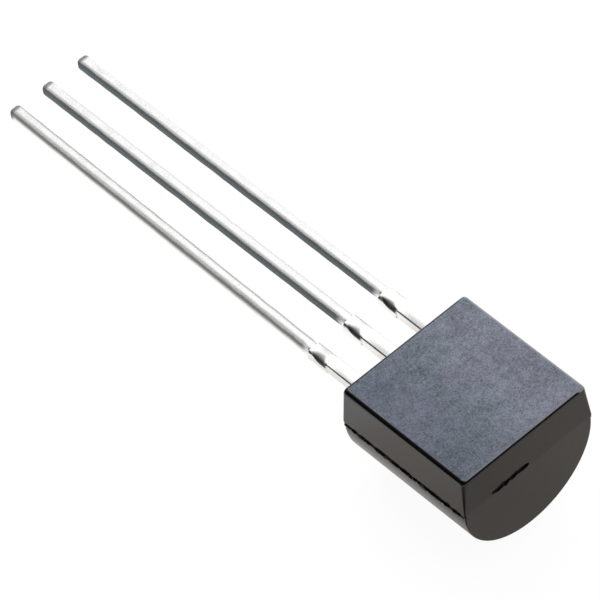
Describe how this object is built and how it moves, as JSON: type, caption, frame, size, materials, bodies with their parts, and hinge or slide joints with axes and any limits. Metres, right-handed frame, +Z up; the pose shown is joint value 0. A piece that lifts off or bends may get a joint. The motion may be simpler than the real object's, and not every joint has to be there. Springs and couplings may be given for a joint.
{
  "type": "to-92 transistor",
  "caption": "Small signal transistor in a D-section moulded resin body with a flat front face, rounded back and straight tinned leads in a row.",
  "frame": {"origin": "on the surface it lies on, under the middle of its bounding box", "axes": "+Y along the leads from the body towards the tips, seen from above; +X across the row of leads, from the collector to the emitter; +Z up, and the flat face looks up, leaning 9.48 degrees towards the leads"},
  "size_m": [0.0046, 0.0188, 0.0042],
  "materials": {
    "moulding_resin": "filled epoxy: matt on the flat face, semi-gloss on the walls and the back",
    "tinned_lead": "bright tin plating on copper alloy, a little uneven",
    "silicon": "polished silicon with a fine metal pattern",
    "solder": "dull solder",
    "bond_wire": "gold wire"
  },
  "bodies": {
    "root": {"moulded_body": "moulding_resin", "emitter_lead": "tinned_lead", "base_lead": "tinned_lead", "collector_lead": "tinned_lead", "silicon_die": "silicon", "die_solder": "solder", "emitter_bond_wire": "bond_wire", "base_bond_wire": "bond_wire"}
  },
  "joints": []
}
